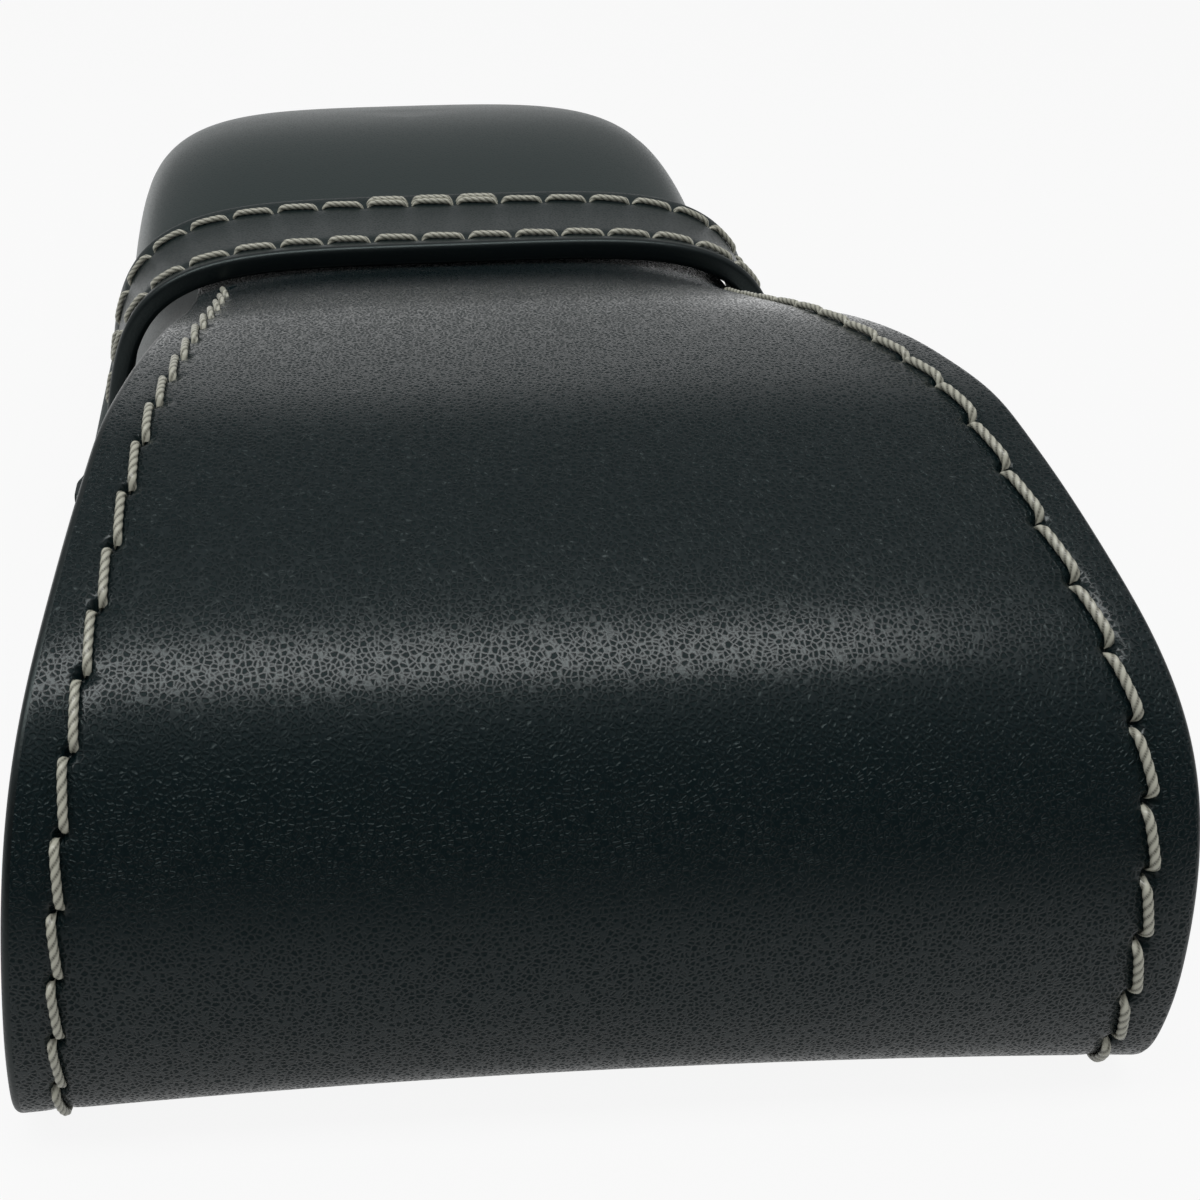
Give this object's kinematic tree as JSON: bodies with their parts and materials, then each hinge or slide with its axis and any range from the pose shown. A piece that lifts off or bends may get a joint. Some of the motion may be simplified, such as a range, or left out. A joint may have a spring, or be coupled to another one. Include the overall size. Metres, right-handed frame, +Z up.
{
  "type": "leather pen case",
  "caption": "Moulded leather pen case with a fold-over flap whose tongue tucks under a fixed stitched strap, lined and divided inside.",
  "frame": {"origin": "on the table under the middle of the closed case, which lies on its back panel", "axes": "+X across the case to the right seen from the flap's fold, +Y from the flap's fold to the closed far end, +Z up from the back panel to the moulded front"},
  "size_m": [0.079, 0.1562, 0.0365],
  "materials": {
    "back_leather": "fine pebble grain, semi-matt",
    "front_shell": "fine pebble grain, semi-matt, wet-moulded",
    "strap_leather": "fine pebble grain, painted edges",
    "flap_leather": "fine pebble grain, painted edges",
    "lining_leather": "smooth lining leather, matt",
    "board": "pressed fibre board, matt, hidden between the layers",
    "thread": "thick waxed twisted thread, beige"
  },
  "bodies": {
    "case": {"back_leather": "back_leather", "back_board": "board", "back_lining": "lining_leather", "front_shell": "front_shell", "front_board": "board", "front_lining": "lining_leather", "divider_left": "lining_leather", "divider_right": "lining_leather", "strap_leather": "strap_leather", "strap_lining": "lining_leather", "strap_thread_front": "thread", "strap_thread_back": "thread", "seam_thread": "thread", "mouth_side_thread_left": "thread", "mouth_side_thread_right": "thread", "mouth_thread": "thread"},
    "flap_front": {"flap_front_leather": "flap_leather", "flap_front_lining": "lining_leather", "flap_front_thread_left": "thread", "flap_front_thread_right": "thread"},
    "flap_top": {"flap_top_leather": "flap_leather", "flap_top_lining": "lining_leather", "tongue_leather": "flap_leather", "tongue_lining": "lining_leather", "flap_top_thread_left": "thread", "flap_top_thread_right": "thread"}
  },
  "joints": [
    {"name": "flap_fold", "type": "hinge", "parent": "case", "child": "flap_front", "pos_m": [0, -0.07543, 0.00146], "axis": [1, 0, 0], "range_deg": [0, 80]},
    {"name": "flap_bend", "type": "hinge", "parent": "flap_front", "child": "flap_top", "pos_m": [0, -0.07241, 0.02485], "axis": [1, 0, 0], "range_deg": [0, 80], "deforming": ["tongue_leather", "tongue_lining"]}
  ],
  "couplings": [
    {"joint": "flap_bend", "follows": "flap_fold", "ratio": 1}
  ]
}
